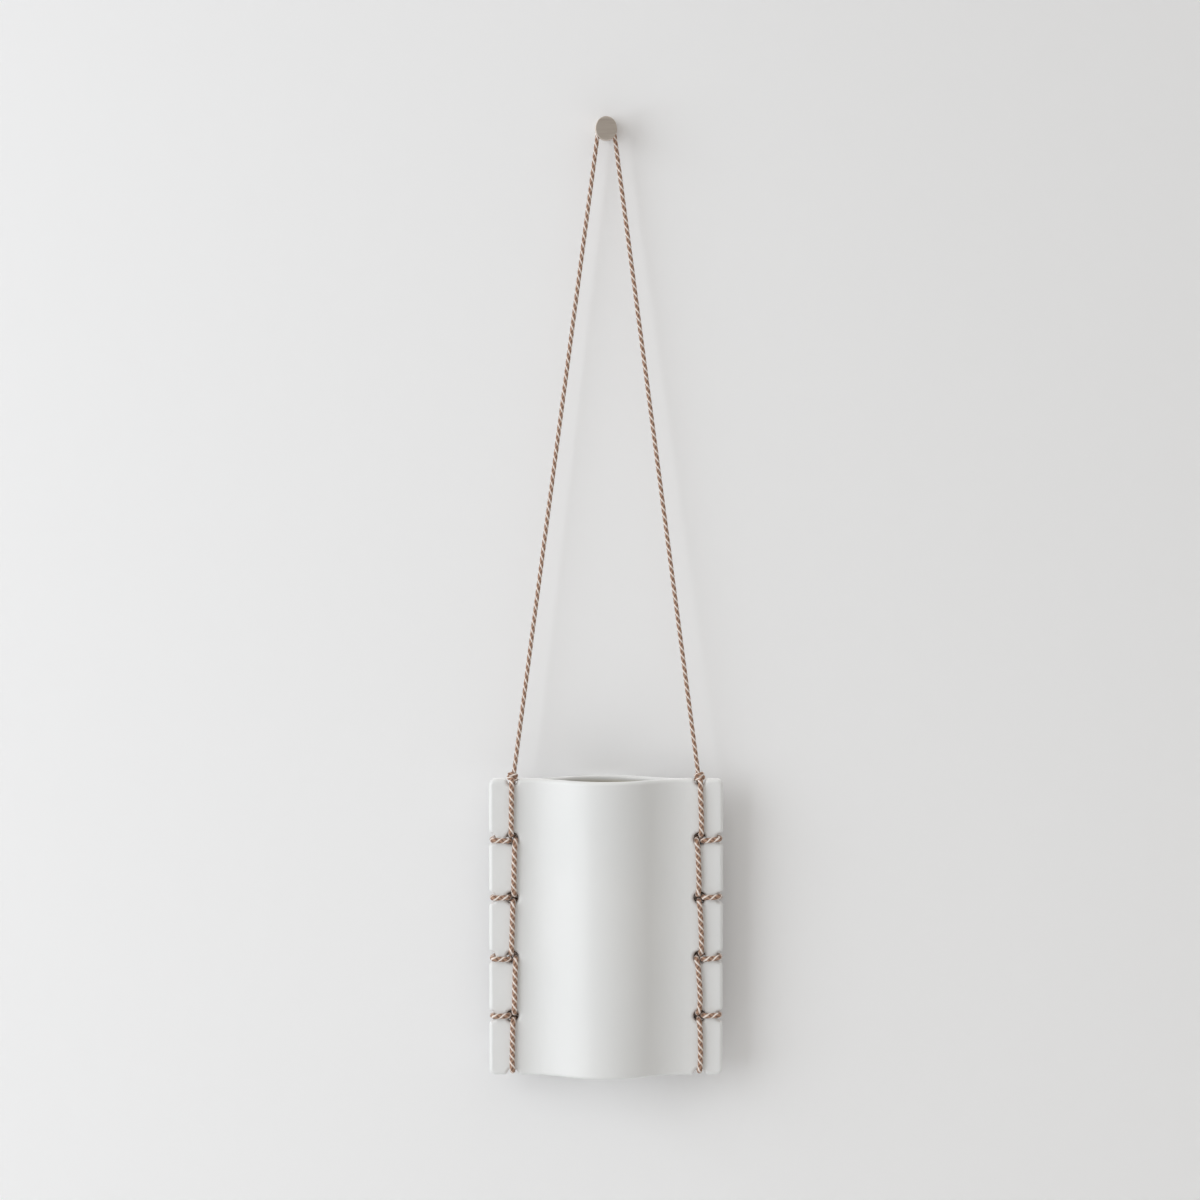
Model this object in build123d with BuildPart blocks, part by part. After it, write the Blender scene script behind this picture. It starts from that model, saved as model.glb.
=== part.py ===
import os
from math import asin, atan, atan2, cos, hypot, pi, radians, sin, sqrt

from build123d import *

# Hanging wall vase: a flat-flanged vessel laced with cord and slung from a steel wall peg.
# Origin: the peg's axis on the wall face. +X right, +Y into the wall, +Z up. Millimetres.

# Vase
vase_width = 116.0
vase_height = 148.0
vase_depth = 36.0
flange_thickness = 6.5
flange_corner = 3.0
vase_wall = 3.5
vase_floor = 5.0
cavity_corner = 1.8
edge_round = 1.8
mouth_round = 1.2
wall_gap = 0.3

# Lacing holes and the notches in the flange edges
holes_per_side = 4
hole_diameter = 6.0
hole_inset = 11.5
flat_beside_holes = 0.1
notch_radius = 2.6
notch_depth = 3.2
notch_lip = 2.1

# Cord, knots and sling
lace_diameter = 2.6
sling_diameter = 2.1
cord_gap = 0.1
strand_gap = 0.15
wrap_slant = 0.25
knot_length = 6.0
knot_diameter = 5.4
knot_rise = 1.0
knot_core = 4.6
knot_wrap = 2.2
knot_wrap_tilt = 32.0
sling_drop = 321.0
junction_drop = 8.0
flex_gap = 0.3

# Wall peg, its stud and the wall plug
peg_base_diameter = 11.0
peg_base_thickness = 4.0
neck_diameter = 5.4
neck_length = 11.0
head_width = 10.6
head_height = 11.8
head_thickness = 5.0
peg_edge = 0.3
neck_fillet = 0.8
relief_depth = 1.0
relief_gap = 0.5
cord_from_wall = 11.0
neck_gap = 0.05
stud_diameter = 4.0
stud_core = 3.0
stud_in_peg = 7.0
stud_in_plug = 26.0
stud_point = 4.0
stud_pitch = 1.8
stud_gap = 0.05
plug_diameter = 6.0
plug_length = 30.0
plug_set_back = 0.5
plug_slot_width = 1.0
plug_slot_length = 19.0
plug_rib_depth = 0.35
plug_rib_pitch = 3.0
plug_rib_count = 5

# Places worked out from the sizes above
lace_radius = lace_diameter / 2
sling_radius = sling_diameter / 2
vase_y = -(vase_depth / 2 + wall_gap)
vase_top = -sling_drop
vase_bottom = vase_top - vase_height
vase_middle = (vase_top + vase_bottom) / 2
hole_row = vase_width / 2 - hole_inset
hole_pitch = vase_height / (holes_per_side + 1)
hole_heights = [vase_top - hole_pitch * (k + 1) for k in range(holes_per_side)]
notch_centre_depth = notch_depth - notch_radius
notch_reach = sqrt((notch_radius + notch_lip) ** 2 - (notch_lip - notch_centre_depth) ** 2)
hole_reach = max(hole_diameter / 2 + edge_round, notch_reach)
bulge_half_width = hole_row - hole_reach - flat_beside_holes
knot_z = vase_top + knot_rise
sides = ((-1, "left"), (1, "right"))

os.makedirs("parts", exist_ok=True)


def finish(builder, name):
    """Label a finished piece and write its file."""
    builder.part.label = name
    export_step(builder.part, f"parts/{name}.step")


# Vase body: front outline with its notches, cut to the plan section of flanges and bulge
front_plane = Plane(origin=(0, vase_y, vase_middle), x_dir=(1, 0, 0), z_dir=(0, -1, 0))
side_edge = vase_width / 2 - notch_centre_depth
end_edge = vase_height / 2 - notch_centre_depth
side_notches = [(side * side_edge, z - vase_middle) for side in (-1, 1) for z in hole_heights]
end_notches = [(side * hole_row, end * end_edge) for side in (-1, 1) for end in (-1, 1)]

half_flange = flange_thickness / 2
bulge_rise = vase_depth / 2 - half_flange
bulge_slope = 2 * atan(bulge_rise / bulge_half_width)
bulge_radius = bulge_half_width / (2 * sin(bulge_slope))
bulge_turn = Vector(bulge_half_width / 2, half_flange + bulge_rise / 2)
bulge_normal = Vector(sin(bulge_slope), cos(bulge_slope))

hollow_centre = Vector(bulge_half_width, half_flange + bulge_radius)
tip_distance = bulge_radius + vase_wall + cavity_corner
tip_centre = Vector(bulge_half_width - sqrt(tip_distance**2 - hollow_centre.Y**2), 0)
tip_start = hollow_centre + (tip_centre - hollow_centre).normalized() * (bulge_radius + vase_wall)
cavity_turn = bulge_turn - bulge_normal * vase_wall
turn_tangent = (cos(bulge_slope), -sin(bulge_slope))

with BuildPart() as vase_body:
    with BuildSketch(front_plane) as outline:
        Rectangle(vase_width, vase_height)
        fillet(outline.vertices(), flange_corner)
        with Locations(*side_notches, *end_notches):
            Circle(notch_radius, mode=Mode.SUBTRACT)
        fillet(outline.vertices(Select.LAST), notch_lip)
    extrude(amount=vase_depth / 2, both=True)
    with BuildSketch(Plane((0, vase_y, vase_bottom))):
        with BuildLine():
            Line((vase_width / 2, 0), (vase_width / 2, half_flange))
            Line((vase_width / 2, half_flange), (bulge_half_width, half_flange))
            TangentArc((bulge_half_width, half_flange), bulge_turn, tangent=(-1, 0))
            TangentArc((0, vase_depth / 2), bulge_turn, tangent=(1, 0))
            mirror(about=Plane.YZ)
            mirror(about=Plane.XZ)
        make_face()
    extrude(amount=vase_height, mode=Mode.INTERSECT)
    seams = vase_body.edges().filter_by(Axis.Z).filter_by(lambda edge: abs(edge.center().X) < hole_row)
    fillet(vase_body.edges().filter_by(Axis.Y, reverse=True) - seams, edge_round)
    with BuildSketch(Plane((0, vase_y, vase_bottom + vase_floor))):
        with BuildLine():
            TangentArc((0, vase_depth / 2 - vase_wall), cavity_turn, tangent=(1, 0))
            TangentArc(cavity_turn, tip_start, tangent=turn_tangent)
            TangentArc((tip_centre.X + cavity_corner, 0), tip_start, tangent=(0, 1))
            mirror(about=Plane.YZ)
            mirror(about=Plane.XZ)
        make_face()
    extrude(amount=vase_height, mode=Mode.SUBTRACT)
    cavity_rims = vase_body.edges(Select.LAST).group_by(Axis.Z)
    fillet(cavity_rims[-1], mouth_round)
    with BuildSketch(front_plane):
        with Locations(*[(side * hole_row, z - vase_middle) for side in (-1, 1) for z in hole_heights]):
            Circle(hole_diameter / 2)
    extrude(amount=vase_depth, both=True, mode=Mode.SUBTRACT)
    fillet(vase_body.edges(Select.LAST).filter_by(GeomType.CIRCLE), edge_round)
finish(vase_body, "vase_body")

# Wall peg: base on the wall, neck for the cord and an oval head. Behind, a bore for the stud and
# a shallow relief that clears the rim of the plug
with BuildPart() as wall_peg:
    with BuildSketch(Plane.XZ):
        Circle(peg_base_diameter / 2)
    extrude(amount=peg_base_thickness)
    fillet(wall_peg.edges(), peg_edge)
    with BuildSketch(Plane.XZ.offset(peg_base_thickness)):
        Circle(neck_diameter / 2)
    extrude(amount=neck_length)
    with BuildSketch(Plane.XZ.offset(peg_base_thickness + neck_length)):
        Ellipse(head_width / 2, head_height / 2)
    extrude(amount=head_thickness)
    fillet(wall_peg.edges().filter_by(GeomType.ELLIPSE), peg_edge)
    neck = wall_peg.faces().filter_by(GeomType.CYLINDER).sort_by(Axis.Y)[0]
    fillet(neck.edges().filter_by(GeomType.CIRCLE), neck_fillet)
    with BuildSketch(Plane.XZ):
        Circle(stud_diameter / 2 + stud_gap)
    extrude(amount=stud_in_peg + stud_gap, mode=Mode.SUBTRACT)
    with BuildSketch(Plane.XZ):
        Circle(plug_diameter / 2 + relief_gap)
    extrude(amount=relief_depth, mode=Mode.SUBTRACT)
finish(wall_peg, "wall_peg")

# Peg stud: plain machine end in the peg, ridged and pointed end in the plug
thread_start = plug_set_back
ridge_count = int((stud_in_plug - stud_point - thread_start) / stud_pitch)
ridges = []
for ridge in range(ridge_count):
    foot = thread_start + ridge * stud_pitch
    ridges += [(stud_core / 2, foot), (stud_diameter / 2, foot + stud_pitch / 2)]
ridge_end = thread_start + ridge_count * stud_pitch

with BuildPart() as peg_stud:
    with BuildSketch(Plane.XY):
        with BuildLine():
            Polyline(
                (0, -stud_in_peg),
                (stud_diameter / 2, -stud_in_peg),
                (stud_diameter / 2, 0),
                *ridges,
                (stud_core / 2, ridge_end),
                (0, stud_in_plug),
                close=True,
            )
        make_face()
    revolve(axis=Axis.Y)
finish(peg_stud, "peg_stud")

# Wall plug: ribbed sleeve round the stud, split crosswise from its far end
plug_end = plug_set_back + plug_length
plug_plane = Plane.XZ.offset(-plug_end)
rib_places = [plug_end - plug_rib_pitch * (rib + 1) for rib in range(plug_rib_count)]

with BuildPart() as wall_plug:
    with BuildSketch(plug_plane):
        Circle(plug_diameter / 2)
    extrude(amount=plug_length)
    with BuildSketch(Plane.XY):
        for place in rib_places:
            with BuildLine():
                Polyline(
                    (plug_diameter / 2, place - plug_rib_depth),
                    (plug_diameter / 2 - plug_rib_depth, place),
                    (plug_diameter / 2, place + plug_rib_depth),
                    close=True,
                )
            make_face()
    revolve(axis=Axis.Y, mode=Mode.SUBTRACT)
    with BuildSketch(Plane.XZ.offset(-plug_set_back)):
        Circle(stud_diameter / 2 + stud_gap)
    extrude(amount=-stud_in_plug, mode=Mode.SUBTRACT)
    with BuildSketch(plug_plane):
        Rectangle(plug_slot_width, plug_diameter)
        Rectangle(plug_diameter, plug_slot_width)
    extrude(amount=plug_slot_length, mode=Mode.SUBTRACT)
finish(wall_plug, "wall_plug")

# Sling: the bight lies on the neck, and each leg runs straight from it to its knot
bight_radius = neck_diameter / 2 + neck_gap + sling_radius
knot_distance = hypot(hole_row, knot_z)
leg_angle = atan2(hole_row, -knot_z) - asin(bight_radius / knot_distance)
leg_off_x = bight_radius * cos(leg_angle)
leg_off_z = bight_radius * sin(leg_angle)
stub_length = junction_drop - sling_radius - flex_gap


def sling_point(side, below):
    """A point of the sling's line, so far below where the leg leaves the neck."""
    along_x = leg_off_x + below * sin(leg_angle)
    return Vector(side * along_x, -cord_from_wall, leg_off_z - below * cos(leg_angle))


with BuildPart() as cord_bight:
    with BuildLine() as bight_path:
        Line(sling_point(1, stub_length), sling_point(1, 0))
        ThreePointArc(sling_point(1, 0), (0, -cord_from_wall, bight_radius), sling_point(-1, 0))
        Line(sling_point(-1, 0), sling_point(-1, stub_length))
    bight_wire = bight_path.wires()[0]
    with BuildSketch(bight_wire ^ 0):
        Circle(sling_radius)
    sweep()
finish(cord_bight, "cord_bight")
tube = pi * sling_radius**2 * bight_wire.length
print("bight radius", round(bight_radius, 2), "length", round(bight_wire.length, 2))
print("bight volume", round(cord_bight.part.volume, 1), "section times length", round(tube, 1))

for side, name in sides:
    leg_top = sling_point(side, junction_drop)
    knot_centre = Vector(side * hole_row, vase_y, knot_z)
    leg_run = knot_centre - leg_top
    leg_length = leg_run.length - knot_diameter / 2 - flex_gap
    with BuildPart() as cord_leg:
        with BuildSketch(Plane(origin=leg_top, z_dir=leg_run)):
            Circle(sling_radius)
        extrude(amount=leg_length)
        with Locations(leg_top):
            Sphere(sling_radius)
    finish(cord_leg, f"cord_leg_{name}")
    print(name, "leg length", round(leg_length, 2))

# Knots: a core with two crossing turns of cord, round about the axis through both knots
knot_turn = (knot_diameter - knot_wrap) / 2
for side, name in sides:
    knot_centre = Vector(side * hole_row, vase_y, knot_z)
    with BuildPart() as knot:
        with BuildSketch(Plane(knot_centre)):
            Ellipse(knot_length / 2, knot_core / 2)
            Rectangle(knot_length, knot_core, align=(Align.CENTER, Align.MAX), mode=Mode.SUBTRACT)
        revolve(axis=Axis(knot_centre, (1, 0, 0)))
        with Locations(knot_centre):
            for tilt in (-knot_wrap_tilt, knot_wrap_tilt):
                Torus(knot_turn, knot_wrap / 2, rotation=(0, 90, tilt))
    finish(knot, f"knot_{name}")

# Lacing: one cord a side, down from the knot and back up to it. Three strands share each hole,
# at 60, 180 and 300 degrees round its axis
strand_angle = radians(60)
lace_bend = edge_round + lace_radius + cord_gap
lace_off = half_flange + lace_radius + cord_gap
strand_circle = (lace_diameter + strand_gap) / (2 * sin(strand_angle))
wrap_out = hole_inset - notch_depth + lace_radius + cord_gap
end_turn = notch_depth - lace_radius - cord_gap
strand_out = strand_circle * cos(strand_angle)
strand_up = strand_circle * sin(strand_angle)
knot_reach = knot_diameter / 2 + cord_gap


def lace_point(side, out, front, height):
    """A point of the lacing: outwards from the hole row, in front of the flange, and up."""
    return Vector(side * (hole_row + out), vase_y - front, height)


for side, name in sides:
    knot_centre = lace_point(side, 0, 0, knot_z)
    knot_exit = lace_point(side, 0, lace_off, vase_top - notch_depth)
    knot_return = lace_point(side, 0, -lace_off, vase_top - notch_depth)
    route = [knot_centre + (knot_exit - knot_centre).normalized() * knot_reach, knot_exit]
    for k, height in enumerate(hole_heights):
        face = lace_off if k % 2 == 0 else -lace_off
        route += [
            lace_point(side, strand_out, face, height + strand_up),
            lace_point(side, strand_out, -face, height + strand_up),
            lace_point(side, wrap_out, -face, height + wrap_slant),
            lace_point(side, wrap_out, face, height - wrap_slant),
            lace_point(side, strand_out, face, height - strand_up),
            lace_point(side, strand_out, -face, height - strand_up),
        ]
    last_face = lace_off if holes_per_side % 2 == 0 else -lace_off
    route += [
        lace_point(side, 0, last_face, vase_bottom + end_turn),
        lace_point(side, 0, -last_face, vase_bottom + end_turn),
    ]
    for k, height in reversed(list(enumerate(hole_heights))):
        face = lace_off if k % 2 == 0 else -lace_off
        route += [
            lace_point(side, -strand_circle, face, height),
            lace_point(side, -strand_circle, -face, height),
        ]
    route += [knot_return, knot_centre + (knot_return - knot_centre).normalized() * knot_reach]

    with BuildPart() as lacing:
        with BuildLine() as lace_path:
            FilletPolyline(*route, radius=lace_bend)
        with BuildSketch(lace_path.wires()[0] ^ 0):
            Circle(lace_radius)
        sweep()
    finish(lacing, f"lacing_{name}")
    lace_length = lace_path.wires()[0].length
    tube = pi * lace_radius**2 * lace_length
    print(name, "lacing length", round(lace_length, 1), "bend", round(lace_bend, 2))
    print(name, "tube volume", round(lacing.part.volume, 1), "section times length", round(tube, 1))
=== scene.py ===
from math import ceil, pi, radians

import bpy
import numpy as np
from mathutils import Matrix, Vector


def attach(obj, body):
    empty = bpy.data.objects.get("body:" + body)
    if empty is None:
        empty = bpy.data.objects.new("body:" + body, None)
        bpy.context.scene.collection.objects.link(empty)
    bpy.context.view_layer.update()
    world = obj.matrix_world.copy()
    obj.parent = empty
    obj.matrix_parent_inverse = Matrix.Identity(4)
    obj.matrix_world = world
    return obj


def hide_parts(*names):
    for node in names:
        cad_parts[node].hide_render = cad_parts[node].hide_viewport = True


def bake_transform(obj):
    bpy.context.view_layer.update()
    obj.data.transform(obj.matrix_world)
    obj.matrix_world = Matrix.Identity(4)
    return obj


# Looks of the hanging wall vase, in metres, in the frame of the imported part:
# +X right, +Y into the wall, +Z up, origin on the peg's axis at the wall's face.
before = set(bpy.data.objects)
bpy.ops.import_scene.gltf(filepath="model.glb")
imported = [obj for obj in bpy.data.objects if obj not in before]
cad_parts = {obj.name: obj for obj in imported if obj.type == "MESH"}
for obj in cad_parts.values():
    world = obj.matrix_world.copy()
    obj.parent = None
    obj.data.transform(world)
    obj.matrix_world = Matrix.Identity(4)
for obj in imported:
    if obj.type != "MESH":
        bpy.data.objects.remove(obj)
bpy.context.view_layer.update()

MM = 0.001

# Camera, from points of the photograph
PHOTO_SIDE = 1200
FOCAL_PX = 4211
SENSOR = 36.0
CAMERA_PLACE = (-0.0030, -2.097, -0.0912)
CAMERA_PITCH = radians(3.88)

# Soft light of the room: its strength from level directions, how much it rises from low to high,
# how far down and up in its direction that rise goes, its tint, and the colour seen past the stage
FILL = 0.372
SKY = 0.66
SKY_REACH = 0.7
ROOM_TINT = (1.03, 1.0, 0.96)
PAST_STAGE = (0.80, 0.80, 0.80)

# Broad lamps, in metres and watts: a window on the left, and light for views from behind the wall
LAMPS = {
    "window": dict(place=(-1.47, -1.04, 0.0), aim=(0, -0.02, -0.28), width=1.66, height=1.75,
                   power=19.2, colour=(0.965, 1.0, 1.04)),
    "behind": dict(place=(0.0, 2.0, 0.2), aim=(0, 0, -0.25), width=1.2, height=1.2,
                   power=14.0, colour=(1.0, 1.0, 1.0)),
}

# Stage, in metres: half its width, heights of the floor and of the wall's top, how far the floor
# reaches on both sides of the wall, and the two paints
STAGE_HALF_WIDTH = 3.0
FLOOR_HEIGHT = -1.6
WALL_TOP = 1.6
FLOOR_REACH = 4.0
WALL_PAINT = (0.959, 0.962, 0.968)
FLOOR_PAINT = (0.82, 0.82, 0.82)

# Colours of the object. In a pair the second is mixed in by grain, or on brown yarn by its beads:
# painted shade in the dips between beads and painted light on their tops
GLAZE_WHITES = ((0.815, 0.825, 0.822), (0.85, 0.855, 0.85))
# Painted shade in the pocket: a darker, warmer buff put in place of the glaze
POCKET_PAINTED_SHADE = (0.54, 0.505, 0.43)
BROWN_BEAD_SHADE_AND_LIGHT = ((0.115, 0.062, 0.042), (0.54, 0.335, 0.235))
BROWN_FIBRE = (0.30, 0.17, 0.115)
CREAM_FIBRES = ((0.92, 0.83, 0.76), (0.97, 0.90, 0.84))
# Painted shade on the cream yarn in the dips where the other yarns cross
CREAM_CROSSING_SHADE = (0.50, 0.36, 0.28)
# Painted shade in the gaps between yarns
YARN_GAP_PAINTED_SHADE = (0.10, 0.055, 0.038)
STEEL_GREYS = ((0.58, 0.51, 0.445), (0.66, 0.595, 0.53))
ZINC_GREYS = ((0.55, 0.56, 0.58), (0.66, 0.66, 0.67))
NYLON_GREYS = ((0.40, 0.41, 0.41), (0.47, 0.475, 0.47))

# Sizes and places that the cords share with the part, in millimetres
HOLE_ROW = 46.5
FLANGE_MIDDLE = -18.3
VASE_TOP = -321.0
VASE_BOTTOM = -469.0
HOLE_HEIGHTS = [-350.6, -380.2, -409.8, -439.4]
KNOT_HEIGHT = -320.0
SLING_FROM_WALL = -11.0
SIDES = {"left": -1, "right": 1}

# The pocket, for its painted shade, in millimetres: a raised cosine across the bulge, half way through
# the vase's wall, and the heights between which the painted shade fades in below the mouth
BULGE_HALF_WIDTH = 41.6
POCKET_HALF_WIDTH = 34.0
POCKET_MEAN = 8.875
POCKET_SWELL = 7.375
POCKET_FLOOR = -466.5
POCKET_FADE = (-322.4, -324.2)

# Braid of the cord: yarns one way round, of which every third is cream, and yarns that cross them.
# In millimetres, the length of one turn where the cord is taut and where it is laced, and the
# relief. Then the share of the relief that a crossing takes, and the hand of the first yarns
YARNS = 6
CREAM_EVERY = 3
CROSSINGS = 3
TAUT_PITCH = 8.2
LACED_PITCH = 7.7
BRAID_RELIEF = 0.2
BROWN_DIP = 0.5
CREAM_DIP = 0.12
BRAID_HAND = -1

# Radius of each cord to the middle of its relief, and the mesh of a cord: columns round it, length
# between rings, and rows that its baked map is cut into
SLING_RADIUS = 1.0
LACE_RADIUS = 1.24
KNOT_RADIUS = 0.98
TUBE_SIDES = 36
RING_STEP = 0.27
BAKE_ROWS = 8


# Shapes
def distances(line):
    """How far along a line each of its points lies."""
    return np.r_[0, np.cumsum(np.linalg.norm(np.diff(line, axis=0), axis=1))]


def route_line(points):
    """Even points along a cord's route: its order 3 NURBS spline has the route's points, in
    millimetres, as control points, and is read back every RING_STEP along its length."""
    points = np.array(points, float)
    curve = bpy.data.curves.new("route", "CURVE")
    curve.dimensions = "3D"
    spline = curve.splines.new("NURBS")
    spline.points.add(len(points) - 1)
    spline.points.foreach_set("co", np.c_[points, np.ones(len(points))].ravel())
    spline.order_u = 3
    spline.use_endpoint_u = True
    spline.resolution_u = 48
    holder = bpy.data.objects.new("route", curve)
    mesh = bpy.data.meshes.new_from_object(holder)
    line = np.empty(len(mesh.vertices) * 3)
    mesh.vertices.foreach_get("co", line)
    line = line.reshape(-1, 3)
    bpy.data.meshes.remove(mesh)
    bpy.data.curves.remove(curve)
    along = distances(line)
    rings = np.linspace(0, along[-1], int(along[-1] / RING_STEP) + 1)
    return np.stack([np.interp(rings, along, line[:, axis]) for axis in range(3)], axis=1)


def unit(vectors):
    """The same directions with length 1."""
    return vectors / np.linalg.norm(vectors, axis=-1, keepdims=True)


def carried_frames(line):
    """Two directions across a line that go along it without spinning. Each ring starts from a
    direction square to one fixed slanting axis. Turning it with the line onto the next ring
    leaves an angle between the two starts, and the sum of those angles is taken out again."""
    tangent = unit(np.gradient(line, axis=0))
    slanting = unit(np.array([1.0, 1.3, 0.8]))
    start = unit(np.cross(tangent, slanting))
    axis = np.cross(tangent[:-1], tangent[1:])
    cosine = np.sum(tangent[:-1] * tangent[1:], axis=1, keepdims=True)
    old = start[:-1]
    carried = (old * cosine + np.cross(axis, old)
               + axis * np.sum(axis * old, axis=1, keepdims=True) / (1 + cosine))
    new = start[1:]
    across = np.sum(np.cross(new, carried) * tangent[1:], axis=1)
    spin = np.r_[0, np.cumsum(np.arctan2(across, np.sum(new * carried, axis=1)))][:, None]
    normal = start * np.cos(spin) + np.cross(tangent, start) * np.sin(spin)
    return normal, np.cross(tangent, normal)


def braid_points(line, radius, pitch):
    """Rings of points on a round braid along a line, in metres. The columns of the grid follow the
    yarns of one hand, so the angle round the cord is 2 pi (column / columns + hand * length /
    pitch). Yarn a of that hand is a ridge of height sqrt|sin(pi a)|, and dips where yarn b of the
    other hand crosses it, by (1 - |sin(pi b)|) times a share that is smaller on the cream yarns."""
    turns = BRAID_HAND * distances(line)[:, None] / pitch
    column = np.arange(TUBE_SIDES)[None, :] / TUBE_SIDES
    ridge = np.sqrt(np.abs(np.sin(pi * YARNS * column)))
    crossing = 1 - np.abs(np.sin(pi * CROSSINGS * (column + 2 * turns)))
    dip = np.where(np.floor(YARNS * column) % CREAM_EVERY == 0, CREAM_DIP, BROWN_DIP)
    reach = (radius + BRAID_RELIEF * (ridge * (1 - dip * crossing) - 0.5))[..., None]
    angle = 2 * pi * (column + turns)[..., None]
    normal, binormal = carried_frames(line)
    ring = normal[:, None] * np.cos(angle) + binormal[:, None] * np.sin(angle)
    return (line[:, None] + ring * reach) * MM


def tube_faces(rings):
    """The points at the corners of a tube's quads and two end caps, and where each face starts."""
    side = np.arange(TUBE_SIDES)
    first = np.arange(rings - 1)[:, None] * TUBE_SIDES
    here = first + side
    after = first + (side + 1) % TUBE_SIDES
    quads = np.stack([here, after, after + TUBE_SIDES, here + TUBE_SIDES], axis=-1).reshape(-1, 4)
    end_cap = side + (rings - 1) * TUBE_SIDES
    corners = np.r_[quads.ravel(), side[::-1], end_cap]
    starts = np.r_[np.arange(len(quads)) * 4, quads.size, quads.size + TUBE_SIDES]
    return corners, starts


def add_uv(mesh, name, corners):
    """A UV map of a tube from one (u, v) pair for each corner of its quads, and 0 on the caps."""
    caps = np.zeros((2 * TUBE_SIDES, 2))
    layer = mesh.uv_layers.new(name=name, do_init=False)
    layer.uv.foreach_set("vector", np.r_[corners.reshape(-1, 2), caps].astype(np.float32).ravel())


def add_braid_maps(mesh, line, pitch):
    """The map Braid, which holds column / columns and length / pitch, and the map OFBake, which
    lays the cord out in rows, one above the other."""
    rings = len(line)
    ring_of = np.repeat(np.arange(rings - 1), TUBE_SIDES)[:, None] + np.array([0, 0, 1, 1])
    side_of = np.tile(np.arange(TUBE_SIDES), rings - 1)[:, None] + np.array([0, 1, 1, 0])
    column = side_of / TUBE_SIDES
    add_uv(mesh, "Braid", np.stack([column, distances(line)[ring_of] / pitch], axis=-1))
    per_row = ceil((rings - 1) / BAKE_ROWS)
    row = ring_of[:, :1] // per_row
    in_row = (ring_of - row * per_row) / per_row
    add_uv(mesh, "OFBake", np.stack([in_row, (row + column) / BAKE_ROWS], axis=-1))


def braided_tube(name, line, radius, pitch, material):
    """A round braid along a line, as a piece with its maps and material."""
    points = braid_points(line, radius, pitch)
    corners, starts = tube_faces(len(line))
    mesh = bpy.data.meshes.new(name)
    mesh.vertices.add(points.size // 3)
    mesh.vertices.foreach_set("co", points.astype(np.float32).ravel())
    mesh.loops.add(len(corners))
    mesh.loops.foreach_set("vertex_index", corners.astype(np.int32))
    mesh.polygons.add(len(starts))
    mesh.polygons.foreach_set("loop_start", starts.astype(np.int32))
    mesh.update(calc_edges=True)
    mesh.shade_smooth()
    add_braid_maps(mesh, line, pitch)
    piece = bpy.data.objects.new(name, mesh)
    bpy.context.scene.collection.objects.link(piece)
    mesh.materials.append(material)
    return piece


# Materials
def new_material(name):
    """A node material, its tree and its Principled shader."""
    material = bpy.data.materials.new(name)
    material.use_nodes = True
    return material, material.node_tree, material.node_tree.nodes["Principled BSDF"]


def set_inputs(tree, node, inputs):
    """Values or links on a node's inputs."""
    for socket, value in inputs.items():
        if isinstance(value, bpy.types.NodeSocket):
            tree.links.new(value, node.inputs[socket])
        else:
            node.inputs[socket].default_value = value


def add_node(tree, kind, inputs=None, **settings):
    """A node with its settings and with values or links on its inputs."""
    node = tree.nodes.new(kind)
    for setting, value in settings.items():
        setattr(node, setting, value)
    set_inputs(tree, node, inputs or {})
    return node


def maths(tree, operation, first, second=0.0, third=0.0):
    """One step of arithmetic on values or links."""
    node = add_node(tree, "ShaderNodeMath", {0: first, 1: second, 2: third}, operation=operation)
    return node.outputs[0]


def blend_colours(tree, factor, first, second):
    """From the first colour at 0 to the second at 1."""
    node = add_node(tree, "ShaderNodeMix", {"Factor": factor}, data_type="RGBA")
    for socket, value in ((node.inputs[6], first), (node.inputs[7], second)):
        if isinstance(value, bpy.types.NodeSocket):
            tree.links.new(value, socket)
        else:
            socket.default_value = (*value, 1)
    return node.outputs[2]


def grain_group():
    """Uneven grain from noise on stretched object coordinates: Grain runs from about 0 to 1."""
    group = bpy.data.node_groups.new("surface_grain", "ShaderNodeTree")
    stretch = group.interface.new_socket("Stretch", in_out="INPUT", socket_type="NodeSocketVector")
    stretch.default_value = (1, 1, 1)
    for name, value in (("Scale", 100.0), ("Detail", 3.0)):
        socket = group.interface.new_socket(name, in_out="INPUT", socket_type="NodeSocketFloat")
        socket.default_value = value
    group.interface.new_socket("Grain", in_out="OUTPUT", socket_type="NodeSocketFloat")
    given = group.nodes.new("NodeGroupInput").outputs
    place = add_node(group, "ShaderNodeTexCoord").outputs["Object"]
    stretched = add_node(group, "ShaderNodeVectorMath", {0: place, 1: given["Stretch"]},
                         operation="MULTIPLY")
    noise = add_node(group, "ShaderNodeTexNoise", {
        "Vector": stretched.outputs[0], "Scale": given["Scale"], "Detail": given["Detail"]})
    spread = add_node(group, "ShaderNodeMapRange", {
        "Value": noise.outputs["Fac"], "From Min": 0.3, "From Max": 0.7})
    add_node(group, "NodeGroupOutput", {"Grain": spread.outputs[0]})
    return group


def grain(tree, group, scale, detail=3.0, stretch=(1, 1, 1)):
    """The grain group placed in a material with its own values."""
    node = add_node(tree, "ShaderNodeGroup", node_tree=group)
    set_inputs(tree, node, {"Stretch": stretch, "Scale": scale, "Detail": detail})
    return node.outputs["Grain"]


def bump(tree, height, strength, distance):
    """A normal tilted by a 0 to 1 height, whose full rise is the distance in metres."""
    node = add_node(tree, "ShaderNodeBump", {
        "Height": height, "Strength": strength, "Distance": distance})
    return node.outputs["Normal"]


def ranged(tree, value, low, high):
    """A 0 to 1 value spread from low to high."""
    node = add_node(tree, "ShaderNodeMapRange", {"Value": value, "To Min": low, "To Max": high})
    return node.outputs[0]


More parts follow.
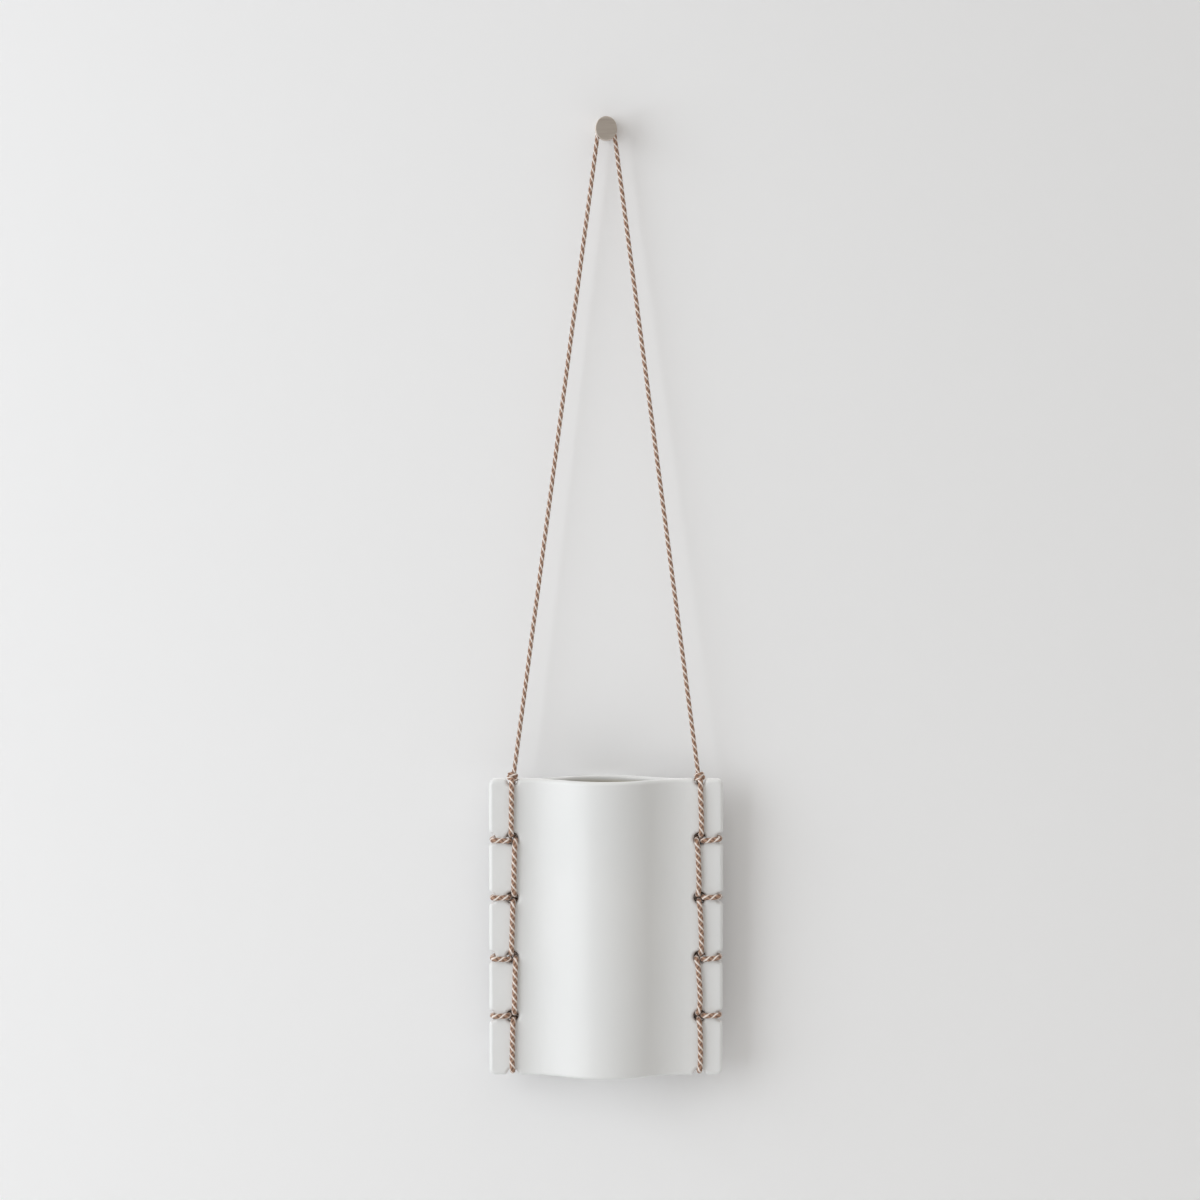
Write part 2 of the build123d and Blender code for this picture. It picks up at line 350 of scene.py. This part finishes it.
def pocket_shade_mask(tree):
    """Where shade is painted inside the pocket: 1 on the walls and floor of the vase's pocket, fading
    to 0 just below its mouth.
    """
    place = add_node(tree, "ShaderNodeTexCoord").outputs["Object"]
    split = add_node(tree, "ShaderNodeSeparateXYZ", {0: place}).outputs
    across = maths(tree, "ABSOLUTE", split["X"])
    off = maths(tree, "ABSOLUTE", maths(tree, "SUBTRACT", split["Y"], FLANGE_MIDDLE * MM))
    wave = maths(tree, "COSINE", maths(tree, "MULTIPLY", across, pi / (BULGE_HALF_WIDTH * MM)))
    limit = maths(tree, "MULTIPLY_ADD", wave, POCKET_SWELL * MM, POCKET_MEAN * MM)
    within = maths(tree, "MULTIPLY", maths(tree, "LESS_THAN", off, limit),
                   maths(tree, "LESS_THAN", across, POCKET_HALF_WIDTH * MM))
    above_floor = maths(tree, "GREATER_THAN", split["Z"], POCKET_FLOOR * MM)
    below_mouth = add_node(tree, "ShaderNodeMapRange", {
        "Value": split["Z"], "From Min": POCKET_FADE[0] * MM, "From Max": POCKET_FADE[1] * MM})
    inside = maths(tree, "MULTIPLY", within, above_floor)
    return maths(tree, "MULTIPLY", inside, below_mouth.outputs[0])


def porcelain(group):
    """Satin white glaze: faint clouding, a slow waviness and uneven gloss, and painted shade, a darker
    buff, in the pocket.
    """
    material, tree, shader = new_material("glazed_porcelain")
    cloud = grain(tree, group, scale=14, detail=2.0)
    white = blend_colours(tree, cloud, *GLAZE_WHITES)
    wave = grain(tree, group, scale=220, detail=2.0)
    set_inputs(tree, shader, {
        # The glaze, with painted shade in the pocket
        "Base Color": blend_colours(tree, pocket_shade_mask(tree), white, POCKET_PAINTED_SHADE),
        "Roughness": ranged(tree, grain(tree, group, scale=60), low=0.34, high=0.44),
        "Normal": bump(tree, wave, strength=0.12, distance=0.0002),
        "Coat Weight": 0.12,
        "Coat Roughness": 0.25,
    })
    return material


def yarn_wave(tree, turns, yarns):
    """|sin(pi * yarns * turns)|: 1 along the middle of each yarn and 0 between two."""
    return maths(tree, "ABSOLUTE", maths(tree, "SINE", maths(tree, "MULTIPLY", turns, pi * yarns)))


def braided_cotton(group):
    """Two-tone braid on the map Braid: one way round the cord a cream yarn follows each two brown
    ones, and the other way's yarns part the brown ones into beads. Painted shade darkens the dips
    between beads on both colours and the gaps between yarns, and painted light lifts the bead tops."""
    material, tree, shader = new_material("braided_cord")
    place = add_node(tree, "ShaderNodeUVMap", uv_map="Braid").outputs[0]
    split = add_node(tree, "ShaderNodeSeparateXYZ", {0: place})
    column, length = split.outputs[0], split.outputs[1]
    other = maths(tree, "MULTIPLY_ADD", length, 2.0 * BRAID_HAND, column)
    ridge = maths(tree, "SQRT", yarn_wave(tree, column, YARNS))
    bead_shading = yarn_wave(tree, other, CROSSINGS)
    in_group = maths(tree, "MODULO", maths(tree, "MULTIPLY", column, YARNS), CREAM_EVERY)
    stripe = maths(tree, "LESS_THAN", in_group, 1.0)
    fibre = grain(tree, group, scale=2600, detail=2.0)
    # Painted shade in the dips between beads and painted light on their tops
    brown = blend_colours(tree, bead_shading, *BROWN_BEAD_SHADE_AND_LIGHT)
    brown = blend_colours(tree, ranged(tree, fibre, low=0.0, high=0.3), brown, BROWN_FIBRE)
    cream = blend_colours(tree, fibre, *CREAM_FIBRES)
    # Painted shade on the cream yarn in the same dips
    cream = blend_colours(tree, ranged(tree, bead_shading, low=0.25, high=0.0), cream, CREAM_CROSSING_SHADE)
    yarn = blend_colours(tree, stripe, brown, cream)
    set_inputs(tree, shader, {
        # Painted shade in the gaps between yarns
        "Base Color": blend_colours(tree, ranged(tree, ridge, low=0.65, high=1.0), YARN_GAP_PAINTED_SHADE, yarn),
        "Normal": bump(tree, fibre, strength=0.35, distance=0.0001),
        "Roughness": 0.85,
        "Specular IOR Level": 0.25,
        "Sheen Weight": 0.15,
    })
    return material


def brushed_steel(group):
    """Stainless steel brushed across, with fine streaks in gloss and colour."""
    material, tree, shader = new_material("brushed_steel")
    streak = grain(tree, group, scale=900, detail=2.0, stretch=(0.06, 1, 1))
    set_inputs(tree, shader, {
        "Base Color": blend_colours(tree, streak, *STEEL_GREYS),
        "Roughness": ranged(tree, streak, low=0.30, high=0.46),
        "Normal": bump(tree, streak, strength=0.15, distance=0.0001),
        "Metallic": 1.0,
    })
    return material


def zinc_plate(group):
    """Zinc plate on a stud: cool grey with soft clouding."""
    material, tree, shader = new_material("stud_steel")
    cloud = grain(tree, group, scale=700)
    set_inputs(tree, shader, {
        "Base Color": blend_colours(tree, cloud, *ZINC_GREYS),
        "Roughness": ranged(tree, cloud, low=0.28, high=0.42),
        "Metallic": 1.0,
    })
    return material


def moulded_nylon(group):
    """Grey moulded nylon with a fine matt texture."""
    material, tree, shader = new_material("plug_nylon")
    texture = grain(tree, group, scale=1500)
    set_inputs(tree, shader, {
        "Base Color": blend_colours(tree, texture, *NYLON_GREYS),
        "Roughness": ranged(tree, texture, low=0.5, high=0.62),
        "Normal": bump(tree, texture, strength=0.2, distance=0.0001),
    })
    return material


def stage_paint(name, colour):
    """Matt paint that shows to the camera and in reflections, from its front alone. Light passes
    it to what the camera sees, so that each side of the object is lit, and bounced light does not."""
    material, tree, shader = new_material(name)
    set_inputs(tree, shader, {
        "Base Color": (*colour, 1), "Roughness": 0.9, "Specular IOR Level": 0.1})
    path = add_node(tree, "ShaderNodeLightPath").outputs
    behind = add_node(tree, "ShaderNodeNewGeometry").outputs["Backfacing"]
    seen = maths(tree, "MAXIMUM", path["Is Camera Ray"], path["Is Glossy Ray"])
    front = maths(tree, "MULTIPLY", seen, maths(tree, "SUBTRACT", 1.0, behind))
    bounced = maths(tree, "GREATER_THAN", path["Diffuse Depth"], 0.5)
    solid = maths(tree, "MAXIMUM", front, bounced)
    clear = add_node(tree, "ShaderNodeBsdfTransparent").outputs[0]
    mixed = add_node(tree, "ShaderNodeMixShader", {0: solid, 1: clear, 2: shader.outputs[0]})
    tree.links.new(mixed.outputs[0], tree.nodes["Material Output"].inputs["Surface"])
    return material


# Camera, light and stage
def make_camera():
    """The photograph's view: level from side to side and pitched down a little."""
    data = bpy.data.cameras.new("camera")
    data.sensor_width = SENSOR
    data.lens = FOCAL_PX / PHOTO_SIDE * SENSOR
    camera = bpy.data.objects.new("camera", data)
    camera.location = CAMERA_PLACE
    camera.rotation_euler = (pi / 2 - CAMERA_PITCH, 0, 0)
    bpy.context.scene.collection.objects.link(camera)
    bpy.context.scene.camera = camera


def make_lamp(name, place, aim, width, height, power, colour):
    """A broad soft lamp that faces its aim."""
    data = bpy.data.lights.new(name, "AREA")
    data.shape = "RECTANGLE"
    data.size = width
    data.size_y = height
    data.energy = power
    data.color = colour
    lamp = bpy.data.objects.new(name, data)
    lamp.location = place
    towards = Vector(aim) - Vector(place)
    lamp.rotation_euler = towards.to_track_quat("-Z", "Y").to_euler()
    bpy.context.scene.collection.objects.link(lamp)


def make_world():
    """Soft light all round, stronger from above, and a pale colour where the camera sees past the
    stage."""
    world = bpy.data.worlds.new("room")
    world.use_nodes = True
    tree = world.node_tree
    direction = add_node(tree, "ShaderNodeTexCoord").outputs["Generated"]
    height = add_node(tree, "ShaderNodeSeparateXYZ", {0: direction}).outputs["Z"]
    level = add_node(tree, "ShaderNodeMapRange", {
        "Value": height, "From Min": -SKY_REACH, "From Max": SKY_REACH,
        "To Min": FILL - SKY / 2, "To Max": FILL + SKY / 2})
    light = tree.nodes["Background"]
    set_inputs(tree, light, {"Color": (*ROOM_TINT, 1), "Strength": level.outputs[0]})
    pale = add_node(tree, "ShaderNodeBackground", {"Color": (*PAST_STAGE, 1), "Strength": 1.0})
    seen = add_node(tree, "ShaderNodeLightPath").outputs["Is Camera Ray"]
    mixed = add_node(tree, "ShaderNodeMixShader", {
        0: seen, 1: light.outputs[0], 2: pale.outputs[0]})
    tree.links.new(mixed.outputs[0], tree.nodes["World Output"].inputs["Surface"])
    bpy.context.scene.world = world


def make_plane(name, corners, material):
    """A flat stage surface from its four corners."""
    mesh = bpy.data.meshes.new(name)
    mesh.from_pydata(corners, [], [(0, 1, 2, 3)])
    mesh.materials.append(material)
    plane = bpy.data.objects.new(name, mesh)
    bpy.context.scene.collection.objects.link(plane)


def make_stage():
    """The wall, the floor, the lamps and the room's soft light."""
    wall_paint = stage_paint("wall_paint", WALL_PAINT)
    floor_paint = stage_paint("floor_paint", FLOOR_PAINT)
    left, right = -STAGE_HALF_WIDTH, STAGE_HALF_WIDTH
    make_plane("wall", [(left, 0, FLOOR_HEIGHT), (right, 0, FLOOR_HEIGHT),
                        (right, 0, WALL_TOP), (left, 0, WALL_TOP)], wall_paint)
    make_plane("floor", [(left, -FLOOR_REACH, FLOOR_HEIGHT), (right, -FLOOR_REACH, FLOOR_HEIGHT),
                         (right, FLOOR_REACH, FLOOR_HEIGHT), (left, FLOOR_REACH, FLOOR_HEIGHT)],
               floor_paint)
    for name, lamp in LAMPS.items():
        make_lamp(name, **lamp)
    make_world()


def sling_route():
    """Half of the sling, from its knot up and round the peg's neck, and the same again."""
    half = [
        (-45.8, FLANGE_MIDDLE, -319.2),
        (-5.75, SLING_FROM_WALL - 0.2, -14.9),
        (-3.85, SLING_FROM_WALL, -0.92),
        (-3.47, SLING_FROM_WALL, 1.86),
        (-1.39, SLING_FROM_WALL, 3.69),
    ]
    return half + [(-x, y, z) for x, y, z in reversed(half)]


# A lacing's and a knot's points are out from their row of holes, in front of the flange's middle,
# and up. First how far a lacing's runs lie off the flange's middle, how far from a hole a run has
# its next point, and the way out of the knot, which the lacing's other end takes on the back
LACE_OFF = 4.65
NEAR_HOLE = 5.0
FROM_KNOT = [
    (0.3, 0.6, KNOT_HEIGHT - 0.2), (0.3, 3.2, VASE_TOP - 1.6), (0.25, LACE_OFF, VASE_TOP - 4.2),
]
# Where the three strands sit in a hole, out and up from its middle: the one that comes down, the
# one that has gone round the edge and the one that goes back up. They change at every other hole.
EVEN_HOLE = ((0.6, 1.5), (1.15, -1.0), (-1.55, -0.55))
ODD_HOLE = ((1.6, 0.3), (-0.3, -1.6), (-0.9, 1.35))
# How far out each run lies, below its upper hole and above its lower one
FRONT_RUNS = {
    "left": ((0.2, 0.5), (-1.1, -0.7), (-0.2, 0.3), (-1.4, -1.0), (-0.1, 0.2)),
    "right": ((0.3, 0.9), (-0.9, -0.2), (0.3, 1.0), (-0.6, 0.6), (0.4, 0.5)),
}
BACK_RUNS = ((-0.6, -1.4), (1.2, 1.6), (-2.9, -1.6), (1.2, 1.6), (-2.9, -0.8))
# How far out a turn round the edge has its points, on the flange and in the notch of its edge
EDGE_NEAR = 6.5
EDGE_OUT = 10.0
# Heights of a turn round the edge, at the back and at the front, at even and at odd holes
EDGE_HEIGHTS = {"left": ((-0.9, -0.7), (-0.5, 0.1)), "right": ((-0.4, 0.0), (0.0, 0.7))}
# How far above the vase's bottom the lacing turns in the lower notch
END_TURN = 1.8


def lacing_route(side_name):
    """One lacing: down with a turn round the edge at each hole, round the foot, and up."""
    def run(k, end, face):
        runs = FRONT_RUNS[side_name] if face > 0 else BACK_RUNS
        return runs[k][end]

    route = list(FROM_KNOT)
    for k, height in enumerate(HOLE_HEIGHTS):
        face = 1 if k % 2 == 0 else -1
        (in_out, in_up), (edge_out, edge_up), _ = EVEN_HOLE if face > 0 else ODD_HOLE
        off = face * LACE_OFF
        far_up, near_up = EDGE_HEIGHTS[side_name][k % 2][::face]
        route += [
            (run(k, 1, face), off, height + in_up + NEAR_HOLE),
            (in_out, off, height + in_up),
            (in_out, -off, height + in_up),
            (EDGE_NEAR, -off, height + (in_up + far_up) / 2),
            (EDGE_OUT, -off, height + far_up),
            (EDGE_OUT, off, height + near_up),
            (EDGE_NEAR, off, height + (edge_up + near_up) / 2),
            (edge_out, off, height + edge_up),
            (edge_out, -off, height + edge_up),
            (run(k + 1, 0, -face), -off, height + edge_up - NEAR_HOLE),
        ]
    turn = VASE_BOTTOM + END_TURN
    last = len(HOLE_HEIGHTS)
    route += [
        (run(last, 1, 1), LACE_OFF, turn + NEAR_HOLE),
        (0, LACE_OFF, turn),
        (0, -LACE_OFF, turn),
        (run(last, 1, -1), -LACE_OFF, turn + NEAR_HOLE),
    ]
    for k, height in reversed(list(enumerate(HOLE_HEIGHTS))):
        face = 1 if k % 2 == 0 else -1
        back_out, back_up = (EVEN_HOLE if face > 0 else ODD_HOLE)[2]
        off = face * LACE_OFF
        route += [
            (run(k + 1, 0, face), off, height + back_up - NEAR_HOLE),
            (back_out, off, height + back_up),
            (back_out, -off, height + back_up),
            (run(k, 1, -face), -off, height + back_up + NEAR_HOLE),
        ]
    return route + [(-out, -front, up) for out, front, up in reversed(FROM_KNOT)]


# The knot's turns, from the knot's middle: once round low down, then up and over the front
KNOT_ROUTE = [
    (0.3, -0.6, -2.0), (-1.3, -1.3, -1.6), (-2.1, 0.1, -1.15), (-1.05, 1.9, -0.95), (1.05, 1.9, -0.85),
    (2.1, 0.1, -0.35), (1.05, -1.8, 0.0), (-1.05, -1.8, 0.3), (-2.1, 0.2, 0.55), (-1.0, 1.75, 1.2),
    (0.9, 1.65, 1.2), (1.5, 0.2, 1.45), (0.3, -0.6, 1.2),
]


def beside(side, points):
    """Points out from a row of holes and in front of the flange's middle, in the part's frame."""
    return [(side * (HOLE_ROW + out), FLANGE_MIDDLE - front, up) for out, front, up in points]


def make_cords(cotton):
    """The sling, lacings and knots as braids, in place of the part's plain cords."""
    sling_line = route_line(sling_route())
    sling = braided_tube("sling_cord", sling_line, SLING_RADIUS, TAUT_PITCH, cotton)
    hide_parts("cord_bight", "cord_leg_left", "cord_leg_right")
    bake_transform(sling)
    for name, side in SIDES.items():
        laced_line = route_line(beside(side, lacing_route(name)))
        lacing = braided_tube(f"lacing_cord_{name}", laced_line, LACE_RADIUS, LACED_PITCH, cotton)
        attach(lacing, "vase")
        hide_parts(f"lacing_{name}")
        turns = [(out, front, up + KNOT_HEIGHT) for out, front, up in KNOT_ROUTE]
        knot_line = route_line(beside(side, turns))
        knot = braided_tube(f"knot_turns_{name}", knot_line, KNOT_RADIUS, LACED_PITCH, cotton)
        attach(knot, "vase")
        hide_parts(f"knot_{name}")


def paint_solids(materials):
    """The solids whose shape is kept get their finish."""
    for node, material in materials.items():
        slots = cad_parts[node].data.materials
        slots.clear()
        slots.append(material)


bpy.context.scene.view_settings.view_transform = "Standard"
make_camera()
make_stage()
grain_nodes = grain_group()
make_cords(braided_cotton(grain_nodes))
paint_solids({
    "vase_body": porcelain(grain_nodes),
    "wall_peg": brushed_steel(grain_nodes),
    "peg_stud": zinc_plate(grain_nodes),
    "wall_plug": moulded_nylon(grain_nodes),
})
